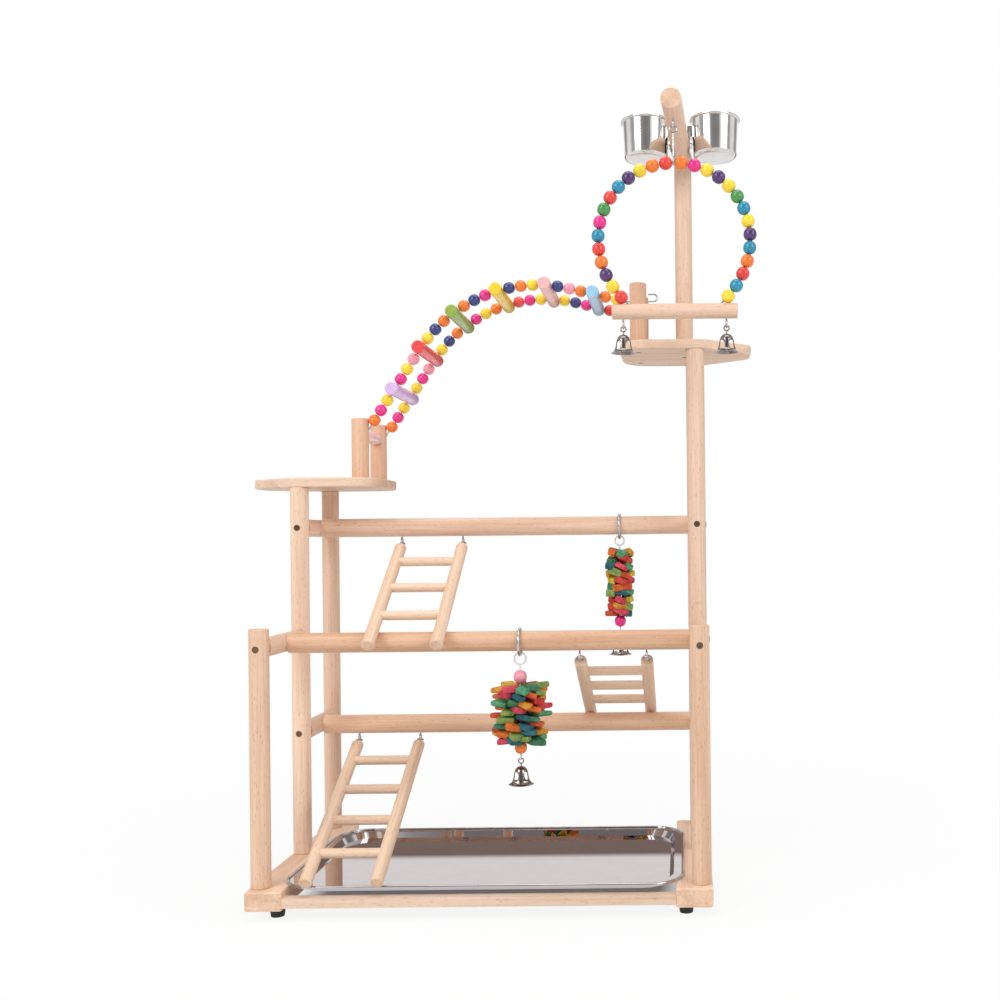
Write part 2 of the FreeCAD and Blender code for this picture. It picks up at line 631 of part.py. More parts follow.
# Cups: each hangs by a strap hook over a plate that one bolt holds to the perch.
plates = []
plate_outer = flat + val("bracket_sheet")
plate_size = Vector(val("bracket_sheet"), val("bracket_width"), val("bracket_below") + val("bracket_above"))
for side, sign in SIDES:
    low_x = flat if sign > 0 else -plate_outer
    corner = Vector(low_x, bolt_spot.y - val("bracket_width") / 2, -val("bracket_below"))
    plates.append(Part.makeBox(plate_size.x, plate_size.y, plate_size.z, corner).cut(bolt_hole))
shank = rod(val("bolt_shank") / 2, bolt_spot - sideways * plate_outer, sideways,
            2 * plate_outer + val("nut_height"))
head = rod(val("bolt_head") / 2, bolt_spot - sideways * plate_outer, sideways * -1, val("bolt_head_height"))
bolt = shank.fuse(head).removeSplitter()
hexagon = [Vector(plate_outer, bolt_spot.y + val("nut_width") / math.sqrt(3) * math.cos(math.radians(60 * k)),
                  val("nut_width") / math.sqrt(3) * math.sin(math.radians(60 * k))) for k in range(7)]
nut = Part.Face(Part.makePolygon(hexagon)).extrude(sideways * val("nut_height"))
nut = nut.cut(rod(bolt_room, bolt_spot, sideways, 2 * plate_outer))
loose("cup_brackets", plates, perch_frame)
loose("cup_bolt", [bolt, nut], perch_frame)

rim = val("cup_rim") / 2
sheet_cup = val("cup_sheet")


def cup_bowl():
    """A drawn bowl, open at the top, with a rolled rim; its rim plane is at Z 0."""
    outer = Part.makeCone(val("cup_base_radius"), val("cup_radius"), val("cup_height"),
                          up * -val("cup_height"))
    foot = [e for e in outer.Edges if isinstance(e.Curve, Part.Circle) and e.CenterOfMass.z < -1]
    outer = outer.makeFillet(val("cup_rounding"), foot)
    inner = Part.makeCone(val("cup_base_radius") - sheet_cup, val("cup_radius") - sheet_cup,
                          val("cup_height"), up * (sheet_cup - val("cup_height")))
    foot = [e for e in inner.Edges if isinstance(e.Curve, Part.Circle) and e.CenterOfMass.z < -1]
    inner = inner.makeFillet(val("cup_rounding") - sheet_cup, foot)
    roll = Part.makeTorus(val("cup_radius") - sheet_cup + rim, rim, up * -rim)
    return outer.cut(inner).fuse(roll).removeSplitter()


wall_at = plate_outer + val("bracket_gap") + val("cup_stand_off")
for side, sign in SIDES:
    sheet_hook = val("cup_hook_sheet")
    half = val("cup_hook_width") / 2
    top = val("bracket_above")
    inner_face = flat - val("bracket_gap")
    behind = inner_face - sheet_hook
    low = perch_radius + val("bracket_gap")
    weld = wall_at + 2 * sheet_cup
    profile = [(behind, low), (inner_face, low), (inner_face, top), (wall_at - sheet_hook, top),
               (wall_at - sheet_hook, top - val("cup_hook_leg")), (weld, top - val("cup_hook_leg")),
               (weld, top + sheet_hook), (behind, top + sheet_hook), (behind, low)]
    outline = Part.makePolygon([Vector(sign * s, bolt_spot.y - half, z) for s, z in profile])
    strap = Part.Face(outline).extrude(back * (2 * half))
    center = Vector(sign * (wall_at + val("cup_radius")), bolt_spot.y, val("cup_rise"))
    inside = Part.makeCone(val("cup_base_radius") - sheet_cup, val("cup_radius") - sheet_cup,
                           val("cup_height"), center + up * (sheet_cup - val("cup_height")))
    bowl = cup_bowl().translated(center).fuse(strap.cut(inside)).removeSplitter()
    loose("cup_" + side, [bowl], perch_frame)

# Bead swing: a bent wire with beads, a round perch and a hook in the perch's eye.
swing_eye_top = perch_frame.multVec(swing_top)
swing_pivot = swing_eye_top - up * hook_drop
loose("screw_eyes", eyes + [screw_eye(swing_eye_top)])
apex = swing_pivot - up * val("swing_drop")
hoop_center = apex - up * val("swing_radius")
leg_angle = math.radians(val("swing_leg_angle"))
quarter = math.pi / 2 * val("swing_radius")


def hoop_at(along, sign):
    """Point and heading on the hoop, measured from its apex down one side."""
    if along < quarter:
        angle = along / val("swing_radius")
        offset = Vector(sign * math.sin(angle), 0, math.cos(angle)) * val("swing_radius")
        return hoop_center + offset, Vector(sign * math.cos(angle), 0, -math.sin(angle))
    angle = min((along - quarter) / val("swing_leg_radius"), leg_angle)
    spare = along - quarter - angle * val("swing_leg_radius")
    heading = Vector(-sign * math.sin(angle), 0, -math.cos(angle))
    reach = val("swing_radius") - val("swing_leg_radius") * (1 - math.cos(angle))
    point = hoop_center + Vector(sign * reach, 0, -val("swing_leg_radius") * math.sin(angle))
    return point + heading * spare, heading


leg_end = quarter + leg_angle * val("swing_leg_radius")
tip = leg_end + val("swing_socket")


def hoop_point(along, sign):
    return hoop_at(along, sign)[0]


bend = (quarter + leg_end) / 2
hoop = Part.Wire([
    segment(hoop_point(tip, -1), hoop_point(leg_end, -1)),
    segment(hoop_point(leg_end, -1), hoop_point(bend, -1), hoop_point(quarter, -1)),
    segment(hoop_point(quarter, -1), apex, hoop_point(quarter, 1)),
    segment(hoop_point(quarter, 1), hoop_point(bend, 1), hoop_point(leg_end, 1)),
    segment(hoop_point(leg_end, 1), hoop_point(tip, 1)),
])
loose("swing_wire", [bent_wire(hoop, wire_radius)])
hanger_loop = eye_wire / 2 + val("bead_gap")
swing_beads = []
for side, sign in SIDES:
    along = hanger_loop
    for count in range(int(val("swing_beads_per_side"))):
        spot, heading = hoop_at(along + val("swing_bead_diameter") / 2, sign)
        swing_beads.append(bead(val("swing_bead_diameter"), spot, heading))
        along += val("swing_bead_diameter") + val("bead_gap")
loose("swing_beads", swing_beads)
top_loop = ring(val("eye_radius"), eye_wire, swing_pivot - up * val("eye_radius"), back)
low_center = apex + up * hang(val("eye_radius"), eye_wire, val("wire_diameter"))
low_loop = ring(val("eye_radius"), eye_wire, low_center, sideways)
stem_top = swing_pivot - up * (2 * val("eye_radius"))
stem = rod(eye_wire / 2, stem_top, up * -1, stem_top.z - low_center.z - val("eye_radius"))
loose("swing_hanger", [top_loop.fuse(stem).fuse(low_loop).removeSplitter()])
perch_axis = hoop_point(leg_end, 1).z - val("swing_perch_diameter") / 2
bar_center = Vector(swing_pivot.x, swing_pivot.y, perch_axis)
bar_start = bar_center - sideways * (val("swing_perch_length") / 2)
swing_bar = eased_rod(val("swing_perch_diameter") / 2, bar_start, sideways, val("swing_perch_length"))
bar_bores = []
bell_eyes = []
bell_pivots = {}
bell_drop = eye_drop + hang(val("eye_radius"), eye_wire, val("bell_wire"))
for side, sign in SIDES:
    point, heading = hoop_at(leg_end, sign)
    bar_bores.append(rod(wire_radius + val("screw_clearance"), point - heading * val("swing_socket"), heading,
                         2 * val("swing_socket") + val("screw_clearance")))
    under = bar_center + Vector(sign * val("swing_bell_reach"), 0, -val("swing_perch_diameter") / 2)
    bell_eyes.append(screw_eye(under))
    bar_bores.append(eye_hole(under))
    bell_pivots["swing_bell_" + side] = under - up * bell_drop
loose("swing_perch", [swing_bar.cut(Part.makeCompound(bar_bores))])
loose("swing_bell_eyes", bell_eyes)


# Bells: a stamped crown with four arched windows over a rim band, a wire loop on top and a clapper inside.
def bell_shapes(pivot):
    crown_z = -(2 * val("bell_loop") + val("bell_neck"))
    rim_z = crown_z - val("bell_height")
    waist_z = rim_z + val("bell_slot_height")
    wall = val("bell_sheet")

    def skin(inset):
        top, bottom = Vector(0, 0, crown_z - inset), Vector(0, 0, rim_z)
        edge = Vector(val("bell_crown") - val("bell_rounding"), 0, crown_z - inset)
        side = Part.BSplineCurve()
        side.interpolate([edge, Vector(val("bell_crown") - inset, 0, crown_z - val("bell_rounding")),
                          Vector(val("bell_waist") - inset, 0, waist_z),
                          Vector(val("bell_radius") - inset, 0, rim_z)])
        rim = Vector(val("bell_radius") - inset, 0, rim_z)
        outline = [segment(top, edge), side.toShape(), segment(rim, bottom), segment(bottom, top)]
        return Part.Face(Part.Wire(outline)).revolve(Vector(), up, 360)

    shell = skin(0).cut(skin(wall))
    for turn in (45, 135):
        reach = 2 * val("bell_radius")
        slot_height = val("bell_slot_height") - val("bell_slot") / 2 - val("bell_band")
        slot = Part.makeBox(2 * reach, val("bell_slot"), slot_height,
                            Vector(-reach, -val("bell_slot") / 2, rim_z + val("bell_band")))
        arch_z = rim_z + val("bell_slot_height") - val("bell_slot") / 2
        slot = slot.fuse(rod(val("bell_slot") / 2, Vector(-reach, 0, arch_z), sideways, 2 * reach))
        slot.rotate(Vector(), up, turn)
        shell = shell.cut(slot)
    loop = ring(val("bell_loop"), val("bell_wire"), up * -val("bell_loop"), back)
    neck = rod(val("bell_wire") / 2, up * (-2 * val("bell_loop")), up * -1, val("bell_neck") + wall / 2)
    shell = shell.fuse(loop).fuse(neck).removeSplitter()
    stem_z = crown_z - wall - val("clapper_gap")
    ball_z = rim_z - val("clapper_drop") + val("clapper_ball") / 2
    stem = rod(val("bell_wire") / 2, up * stem_z, up * -1, stem_z - ball_z)
    clapper = stem.fuse(Part.makeSphere(val("clapper_ball") / 2, up * ball_z)).removeSplitter()
    return shell.translated(pivot), clapper.translated(pivot)


# Chew toys: a ring round a bar, a wire, and rows of pointed wood chips between beads.
def chip_row(toy, center, turn):
    """A row of pointed chips round the wire, each leaning like a fan blade."""
    length, thickness = val(toy + "_chip_length"), val(toy + "_chip_thickness")
    belly, side = val(toy + "_chip_belly"), val(toy + "_chip_width") / 2
    row = rod(val("chip_hub"), up * (-thickness / 2), up, thickness)
    count = int(val(toy + "_row_chips"))
    blank = Part.makePolygon([Vector(x, y, -thickness / 2) for x, y in
                              ((0, 0), (belly, -side), (length, 0), (belly, side), (0, 0))])
    for index in range(count):
        blade = Part.Face(blank).extrude(up * thickness)
        blade.rotate(Vector(), sideways, val("chip_tilt"))
        blade.rotate(Vector(), up, turn + 360 * index / count)
        row = row.fuse(blade)
    bore = rod(val("bead_bore") / 2, up * -length, up, 2 * length)
    return row.cut(bore).removeSplitter().translated(center)


for toy, bar, bay_y in (("big", "middle", "front_bay_y"), ("small", "upper", "rear_bay_y")):
    axis = Vector(val(toy + "_toy_x"), val(bay_y), val(bar + "_bar_height"))
    rise = val("bar_diameter") / 2 + val("hanger_gap") + val("hanger_wire") / 2 - val("hanger_radius")
    hanger = ring(val("hanger_radius"), val("hanger_wire"), axis + up * rise, sideways)
    loop_radius = val(toy + "_toy_loop")
    loop_top = rise - hang(val("hanger_radius"), val("hanger_wire"), val("wire_diameter"))
    loop = ring(loop_radius, val("wire_diameter"), axis + up * (loop_top - loop_radius), back)
    stem_top = loop_top - 2 * loop_radius
    level = stem_top - wire_radius - val("toy_neck")
    beads = []
    if toy == "big":
        level -= val("big_toy_top_bead") / 2
        beads.append(bead(val("big_toy_top_bead"), axis + up * level, up))
        level -= val("big_toy_top_bead") / 2
    chips = []
    for count in range(int(val(toy + "_toy_rows"))):
        middle = axis + up * (level - val(toy + "_row_step") / 2)
        chips.append(chip_row(toy, middle, -count * val("chip_turn")))
        level -= val(toy + "_row_step")
    level -= val("bead_gap") + val("bead_diameter") / 2
    beads.append(bead(val("bead_diameter"), axis + up * level, up))
    level -= val("bead_diameter") / 2 + val("bead_gap") + val("bell_wire") / 2
    eye_center = axis + up * (level - val("bell_loop"))
    stem = rod(wire_radius, axis + up * stem_top, up * -1, stem_top - level)
    eye = ring(val("bell_loop"), val("bell_wire"), eye_center, sideways)
    loose(toy + "_toy_hanger", [hanger, loop.fuse(stem).fuse(eye).removeSplitter()])
    loose(toy + "_toy_beads", beads)
    loose(toy + "_toy_chips", chips)
    drop = hang(val("bell_loop"), val("bell_wire"), val("bell_wire"))
    bell_pivots[toy + "_toy_bell"] = eye_center - up * drop
for name, pivot in bell_pivots.items():
    shell, clapper = bell_shapes(pivot)
    loose(name, [shell])
    loose(name.replace("bell", "clapper"), [clapper])

# Tray: a shallow pressed pan whose flange lies on the beams.
flange_z = val("beam_top")
tray_front = val("beam_front") + val("tray_setback")
pan_drop = val("base_rail_drop") - val("tray_clearance")


def rounded_outline(inset, z):
    """A rectangle with round corners, drawn in from the tray's outer edge."""
    x = val("tray_width") / 2 - inset
    y0, y1 = tray_front + inset, tray_front + val("tray_depth") - inset
    r = max(val("tray_corner") - inset / 2, val("tray_corner") / 4)
    c = r * (1 - math.sqrt(0.5))
    corners = ((x, y0, -1, 1), (x, y1, -1, -1), (-x, y1, 1, -1), (-x, y0, 1, 1))
    arcs = []
    for px, py, dx, dy in corners:
        along_y = Vector(px, py + dy * r, z)
        along_x = Vector(px + dx * r, py, z)
        ends = (along_x, along_y) if dx * dy < 0 else (along_y, along_x)
        arcs.append((ends[0], Vector(px + dx * c, py + dy * c, z), ends[1]))
    edges = []
    for index, (start, middle, end) in enumerate(arcs):
        edges.append(segment(start, middle, end))
        edges.append(segment(end, arcs[(index + 1) % len(arcs)][0]))
    return Part.Wire(edges)


def solid_between(low, high):
    return Part.makeLoft([low, high], True, True)


flange_inner = val("tray_flange")
tray_sheet = val("tray_sheet")
floor_inset = flange_inner + val("tray_draft")
plate = solid_between(rounded_outline(0, flange_z), rounded_outline(0, flange_z + tray_sheet))
pan = solid_between(rounded_outline(floor_inset, flange_z - pan_drop),
                    rounded_outline(flange_inner, flange_z))
hollow = solid_between(rounded_outline(floor_inset + tray_sheet, flange_z - pan_drop + tray_sheet),
                       rounded_outline(flange_inner + tray_sheet, flange_z + tray_sheet))
rim_wire = rounded_outline(val("tray_rim") / 2, flange_z + val("tray_rim") / 2)
rim_roll = bent_wire(rim_wire, val("tray_rim") / 2)
loose("tray", [plate.fuse(pan).cut(hollow).fuse(rim_roll).removeSplitter()])

# Ladders: two rails, let-in rungs and two open hooks in the eyes above; each leans on what is below it.
rail_radius = val("ladder_rail_diameter") / 2
rest = rail_radius + val("ladder_rest_gap")
rest_spots = {
    "upper": (Vector(0, val("front_bay_y"), val("middle_bar_height")), val("bar_diameter") / 2 + rest),
    "lower": (Vector(0, tray_front + val("tray_rim") / 2, flange_z + val("tray_rim") / 2),
              val("tray_rim") / 2 + rest),
    "small": (Vector(0, val("rear_bay_y"), val("lower_bar_height")), val("bar_diameter") / 2 + rest),
}
for ladder, bar, bay_y, way in LADDERS:
    pivot = ladder_pivots[ladder]
    spot, distance = rest_spots[ladder]
    lean_y, lean_z = abs(spot.y - pivot.y), pivot.z - spot.z
    tilt = math.atan2(lean_y, lean_z) + math.asin(distance / math.hypot(lean_y, lean_z))
    frame = Placement(pivot, Rotation(sideways, way * math.degrees(tilt)))
    length = val(ladder + "_ladder_length")
    step = val("small_ladder_step" if ladder == "small" else "ladder_rung_step")
    top = -val("ladder_hook_reach")
    rung_levels = []
    level = top - val("ladder_rung_first")
    while level > top - length + val("ladder_rung_diameter"):
        rung_levels.append(level)
        level -= step
    half = val("ladder_width") / 2
    depth = val("ladder_rung_socket") - rail_radius
    rungs, sockets = [], []
    for level in rung_levels:
        start = Vector(-half - depth, 0, level)
        rungs.append(rod(val("ladder_rung_diameter") / 2, start, sideways, 2 * (half + depth)))
        sockets.append(rod(val("ladder_rung_diameter") / 2 + val("screw_clearance"),
                           start - sideways * val("screw_clearance"), sideways,
                           2 * (half + depth + val("screw_clearance"))))
    rails, hooks = [], []
    for sign in (-1, 1):
        foot = Vector(sign * half, 0, top - length)
        rail = eased_rod(rail_radius, foot, up, length)
        shank_top = Vector(sign * half, 0, -2 * val("eye_radius"))
        bore = rod(eye_wire / 2 + val("screw_clearance"), shank_top, up * -1,
                   val("eye_shank") + val("screw_clearance"))
        rails.append(rail.cut(Part.makeCompound(sockets + [bore])))
        loop = ring(val("eye_radius"), eye_wire, Vector(sign * half, 0, -val("eye_radius")), back,
                    val("hook_opening"))
        shank = rod(eye_wire / 2, shank_top, up * -1, val("eye_shank"))
        hooks.append(loop.fuse(shank).removeSplitter())
    loose(ladder + "_ladder_rails", rails, frame)
    loose(ladder + "_ladder_rungs", rungs, frame)
    loose(ladder + "_ladder_hooks", hooks, frame)

# Every feature and every sub-part is checked before any file is written.
doc.recompute()
for item in doc.Objects:
    if "Invalid" in item.State or "Error" in item.State:
        raise RuntimeError("failed feature: " + item.Label)
for piece in nodes:
    if piece.Shape.isNull() or not piece.Shape.isValid() or not piece.Shape.Solids:
        raise RuntimeError("bad shape: " + piece.Label)
os.makedirs("parts", exist_ok=True)
for piece in nodes:
    piece.Shape.exportStep("parts/%s.step" % piece.Label)
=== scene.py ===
import bmesh
import bpy
import json
import math
import random
from mathutils import Euler, Matrix, Vector


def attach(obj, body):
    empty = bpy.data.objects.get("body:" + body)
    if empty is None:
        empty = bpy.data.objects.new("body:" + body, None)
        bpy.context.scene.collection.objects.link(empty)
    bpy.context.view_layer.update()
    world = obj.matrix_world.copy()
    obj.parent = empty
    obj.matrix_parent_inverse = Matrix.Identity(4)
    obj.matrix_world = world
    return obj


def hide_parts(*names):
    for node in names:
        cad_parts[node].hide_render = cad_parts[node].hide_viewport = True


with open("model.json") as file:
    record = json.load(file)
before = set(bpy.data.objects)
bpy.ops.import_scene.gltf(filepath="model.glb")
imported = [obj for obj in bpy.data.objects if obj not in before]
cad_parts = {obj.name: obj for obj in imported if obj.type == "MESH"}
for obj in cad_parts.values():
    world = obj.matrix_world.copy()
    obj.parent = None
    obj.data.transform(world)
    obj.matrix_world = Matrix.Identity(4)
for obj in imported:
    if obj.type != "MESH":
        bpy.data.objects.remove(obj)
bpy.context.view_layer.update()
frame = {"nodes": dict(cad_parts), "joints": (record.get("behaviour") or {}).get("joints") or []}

# Base: two planed beech beams with rounded edges, front to back, tied by two
# thin strips screwed between them. The grain runs the length of each piece.
ACROSS = Vector((1, 0, 0))
BACK = Vector((0, 1, 0))
UP = Vector((0, 0, 1))


def feed(tree, socket, value):
    """Link a socket to an output, or set it to a plain value."""
    if isinstance(value, bpy.types.NodeSocket):
        tree.links.new(value, socket)
    else:
        socket.default_value = value


def add(tree, kind, settings=None, **sockets):
    """Put one shader node in a tree and feed its sockets by name."""
    made = tree.nodes.new("ShaderNode" + kind)
    for name, value in (settings or {}).items():
        setattr(made, name, value)
    for name, value in sockets.items():
        feed(tree, made.inputs[name.replace("_", " ")], value)
    return made


def sums(tree, kind, *numbers):
    """One step of arithmetic on outputs or plain numbers."""
    made = add(tree, "Math", {"operation": kind})
    for socket, number in zip(made.inputs, numbers):
        feed(tree, socket, number)
    return made.outputs[0]


def remap(tree, value, span=(0, 1), to=(0, 1)):
    """Stretch one span of values onto another."""
    ends = {"From_Min": span[0], "From_Max": span[1], "To_Min": to[0], "To_Max": to[1]}
    return add(tree, "MapRange", Value=value, **ends).outputs["Result"]


def noise(tree, place, **look):
    return add(tree, "TexNoise", Vector=place, **look).outputs["Fac"]


def stretched(tree, place, scale):
    return add(tree, "Mapping", Vector=place, Scale=scale).outputs["Vector"]


def ramp(tree, factor, *stops):
    """A colour ramp over stops of (place, colour)."""
    made = add(tree, "ValToRGB", Fac=factor)
    marks = made.color_ramp.elements
    for mark, (place, colour) in zip(marks, (stops[0], stops[-1])):
        mark.position = place
        mark.color = (*colour, 1)
    for place, colour in stops[1:-1]:
        marks.new(place).color = (*colour, 1)
    return made.outputs["Color"]


def glaze(tree, below, above, share):
    """Lay a second colour over the first by multiplying, as a glaze does."""
    mixed = add(tree, "MixRGB", {"blend_type": "MULTIPLY"}, Fac=share, Color1=below, Color2=above)
    return mixed.outputs[0]


def grey(level):
    return (level, level, level)


def new_finish(name):
    """A new material, its node tree and its shader."""
    finish = bpy.data.materials.new(name)
    finish.use_nodes = True
    return finish, finish.node_tree, finish.node_tree.nodes["Principled BSDF"]


def skin(tree, shader, colour, rough, height, strength, depth):
    """Link a finish's colour, roughness and fine relief to its shader."""
    relief = add(tree, "Bump", Height=height, Strength=strength, Distance=depth).outputs["Normal"]
    tree.links.new(colour, shader.inputs["Base Color"])
    tree.links.new(rough, shader.inputs["Roughness"])
    tree.links.new(relief, shader.inputs["Normal"])


def beech(name, along, pale, deep):
    """Bare beech whose fibres, short flecks and slow colour bands run along one way."""
    finish, tree, shader = new_finish(name)
    place = add(tree, "TexCoord").outputs
    turn = along.rotation_difference(UP).to_euler()
    stood = add(tree, "Mapping", Vector=place["Object"], Rotation=turn).outputs["Vector"]

    def grain(across, lengthwise, **look):
        return noise(tree, stretched(tree, stood, (across, across, lengthwise)), Scale=1.0, **look)

    bright = tuple(1.06 * level for level in pale)
    slow = grain(48, 2.4, Detail=3.0, Distortion=0.6)
    bands = ramp(tree, slow, (0.3, deep), (0.5, pale), (0.72, bright))
    fibre = ramp(tree, grain(620, 11, Detail=3.0), (0.32, (0.86, 0.82, 0.78)), (0.6, grey(1)))
    fleck = ramp(tree, grain(1150, 150, Detail=1.5), (0.27, (0.60, 0.47, 0.37)), (0.36, grey(1)))
    sides = glaze(tree, glaze(tree, bands, fibre, 0.75), fleck, 0.8)
    year = grain(95, 0, Detail=3.0, Distortion=1.2)
    rings = ramp(tree, year, (0.35, (0.86, 0.81, 0.77)), (0.62, (0.96, 0.94, 0.92)))
    toward = add(tree, "VectorMath", {"operation": "DOT_PRODUCT"}, Vector=place["Normal"])
    toward.inputs[1].default_value = along.normalized()
    end = remap(tree, sums(tree, "ABSOLUTE", toward.outputs["Value"]), span=(0.8, 0.97))
    rough = remap(tree, fibre, to=(0.62, 0.46))
    skin(tree, shader, glaze(tree, sides, rings, end), rough, fibre, strength=0.22, depth=0.0004)
    shader.inputs["Specular IOR Level"].default_value = 0.35
    return finish


def dress(finish, *nodes):
    """Give a finish to sub-parts of the frame."""
    for name in nodes:
        mesh = frame["nodes"][name].data
        mesh.materials.clear()
        mesh.materials.append(finish)


dress(beech("beech_beam", BACK, pale=(0.89, 0.64, 0.475), deep=(0.80, 0.545, 0.385)),
      "base_beam_left", "base_beam_right")
dress(beech("beech_strip", ACROSS, pale=(0.80, 0.60, 0.455), deep=(0.72, 0.50, 0.36)),
      "base_rail_front", "base_rail_rear")

# Feet: moulded black rubber buttons with a dull, faintly dusty skin and a
# slight taper, fixed under the ends of the beams.


def own_place(tree):
    """Where a point lies in its own object, in metres."""
    return add(tree, "TexCoord").outputs["Object"]


rubber, tree, shader = new_finish("foot_rubber")
dust = noise(tree, own_place(tree), Scale=260.0, Detail=5.0)
dusty = ramp(tree, dust, (0.35, grey(0.012)), (0.75, (0.045, 0.043, 0.041)))
skin(tree, shader, dusty, remap(tree, dust, to=(0.55, 0.85)), dust, strength=0.3, depth=0.0003)
dress(rubber, "rubber_feet")

# Posts: six round sticks of steamed beech, sanded and left bare, that stand on
# the beams and are drawn down by screws from below. The sticks vary in tone, and
# the left middle post has a lighter copy of the beech: painted light on a post in shade.
COMMON_TONE = {"pale": (0.81, 0.578, 0.432), "deep": (0.70, 0.468, 0.33)}
upright_beech = beech("beech_upright", UP, **COMMON_TONE)
dress(upright_beech, "rear_post_left", "rear_post_right", "middle_post_right")
# Painted light: a lighter copy of the common beech for the left middle post, which stands in shade.
dress(beech("beech_middle_post_painted_light", UP, pale=(0.90, 0.66, 0.50), deep=(0.79, 0.54, 0.39)),
      "middle_post_left")
dress(beech("beech_front_post", UP, pale=(0.81, 0.555, 0.40), deep=(0.70, 0.45, 0.30)),
      "front_post_left", "front_post_right")

# Side rails and perch bars: the same round beech between the posts and from
# side to side. Their ends sit in shallow flats and are drawn up by screws. The lower
# bar has a lighter copy, painted light on a bar in shade; the middle bar a darker copy.
lengthwise_beech = beech("beech_front_to_back", BACK, **COMMON_TONE)
dress(lengthwise_beech, "side_rails_left", "side_rails_right")
cross_beech = beech("beech_across", ACROSS, pale=(0.82, 0.575, 0.43), deep=(0.71, 0.465, 0.33))
dress(cross_beech, "upper_perch_bar")
# Painted light: a lighter copy of the bar beech for the lower bar, which lies in shade.
dress(beech("beech_lower_bar_painted_light", ACROSS, pale=(0.87, 0.575, 0.40), deep=(0.76, 0.465, 0.305)),
      "lower_perch_bar")
dress(beech("beech_middle_bar", ACROSS, pale=(0.745, 0.468, 0.31), deep=(0.65, 0.378, 0.235)),
      "middle_perch_bar")

# Boards: sawn from flat beech, rounded over at the edges and screwed down on
# the tall posts. The grain runs from side to side.
dress(beech("beech_board", ACROSS, pale=(0.82, 0.60, 0.45), deep=(0.71, 0.485, 0.34)),
      "platform_left", "platform_right")

# Stubs, mast and top perch: round beech again. Screws through the boards hold
# the stubs and the mast, and one screw holds the perch across the mast's end.
dress(beech("beech_stub", UP, pale=(0.77, 0.485, 0.33), deep=(0.67, 0.39, 0.25)),
      "bridge_stubs_left", "bridge_stubs_right")
dress(upright_beech, "mast")
dress(lengthwise_beech, "top_perch")

# Screws and eyes: browned wood screws sunk in bored recesses, and eyes of
# zinc-plated wire turned in under the bars and the top perch.


def steel(name, bright, dull, roughness, scratch):
    """Bright metal with fine scratches and slow smears."""
    finish, tree, shader = new_finish(name)
    place = own_place(tree)
    smear = noise(tree, place, Scale=55.0, Detail=3.0)
    line = noise(tree, place, Scale=900.0, Detail=4.0, Roughness=0.7)
    rough = remap(tree, line, to=(roughness * 0.6, roughness * 1.4))
    tone = ramp(tree, smear, (0.3, dull), (0.7, bright))
    skin(tree, shader, tone, rough, line, strength=scratch, depth=0.0001)
    shader.inputs["Metallic"].default_value = 1.0
    return finish


BRONZE = {"bright": (0.26, 0.17, 0.11), "dull": (0.12, 0.075, 0.05), "roughness": 0.42, "scratch": 0.3}
ZINC = {"bright": (0.62, 0.62, 0.63), "dull": (0.45, 0.45, 0.46), "roughness": 0.24, "scratch": 0.15}
zinc_wire = steel("zinc_wire", **ZINC)
dress(steel("screw_bronze", **BRONZE), "wood_screws")
dress(zinc_wire, "screw_eyes")

# Bead bridge: dyed wooden beads and turned rungs threaded on two arched wires that
# are socketed in the stubs, with a short spreader let in between the left stubs.
BEAD, BORE, GAP = 0.0149, 0.0036, 0.0003
FULLNESS, MOUTH_WIDTH = 0.9, 1.35
MOUTH_STEPS = ((1.12, 0.992), (1.0, 0.95))
RUNG, RUNG_LENGTH, RUNG_EASE = 0.0164, 0.118, 0.0016
RUNG_DISC, RUNG_CENTRE = 0.0008, 0.0001
STUB_REACH, STUB = 0.178, 0.0215
STUB_FACE = STUB_REACH - STUB / 2
SPREADER_Z, SPREADER_SEAT = 0.5605, 0.0015
BRIDGE_Y, STRAND_GAP = 0.070, 0.086
ARCH = Vector((0.0485, 0, 0.5697))
ARCH_RADIUS = 0.179
ARCH_START, ARCH_END = math.radians(147), math.radians(76.5)
BEAD_GROUPS = (3, 3, 3, 3, 3, 3, 2)
DYES = {
    "red": (0.78, 0.045, 0.03), "orange": (0.90, 0.20, 0.015), "yellow": (0.93, 0.66, 0.03),
    "green": (0.06, 0.30, 0.07), "blue": (0.01, 0.26, 0.42), "purple": (0.075, 0.025, 0.15),
    "magenta": (0.82, 0.02, 0.25), "navy": (0.03, 0.04, 0.20), "pink": (0.90, 0.33, 0.42),
    "lavender": (0.71, 0.465, 0.82), "sky": (0.35, 0.61, 0.85), "rose": (0.82, 0.065, 0.065),
    "leaf": (0.29, 0.43, 0.07), "lemon": (0.92, 0.64, 0.03), "blush": (0.89, 0.49, 0.48),
    # The last dye is a lighter copy of blush, painted light on the spreader, which lies in the stubs'
    # shadow.
    "petal": (0.97, 0.62, 0.61),
}
FRONT_DYES = ("orange magenta yellow magenta yellow pink yellow navy orange orange navy magenta "
              "navy orange yellow navy pink orange orange yellow").split()
REAR_DYES = ("orange magenta yellow yellow magenta pink yellow navy orange magenta yellow orange "
             "rose magenta yellow yellow navy magenta red purple").split()
RUNG_DYES = "lavender rose leaf lemon blush sky".split()


def dyed(name, colour):
    """Dyed and lacquered wood: the dye takes unevenly and the pores show faintly."""
    finish, tree, shader = new_finish("dye_" + name)
    place = own_place(tree)
    uneven = noise(tree, place, Scale=90.0, Detail=2.0)
    pore = noise(tree, place, Scale=1400.0, Detail=2.0)
    light = tuple(min(1.0, level * 1.07 + 0.008) for level in colour)
    dark = tuple(level * 0.90 for level in colour)
    rough = remap(tree, pore, to=(0.24, 0.34))
    tone = ramp(tree, uneven, (0.3, dark), (0.7, light))
    skin(tree, shader, tone, rough, pore, strength=0.04, depth=0.0002)
    shader.inputs["Coat Weight"].default_value = 0.25
    shader.inputs["Coat Roughness"].default_value = 0.12
    return finish


dyes = {name: dyed(name, colour) for name, colour in DYES.items()}


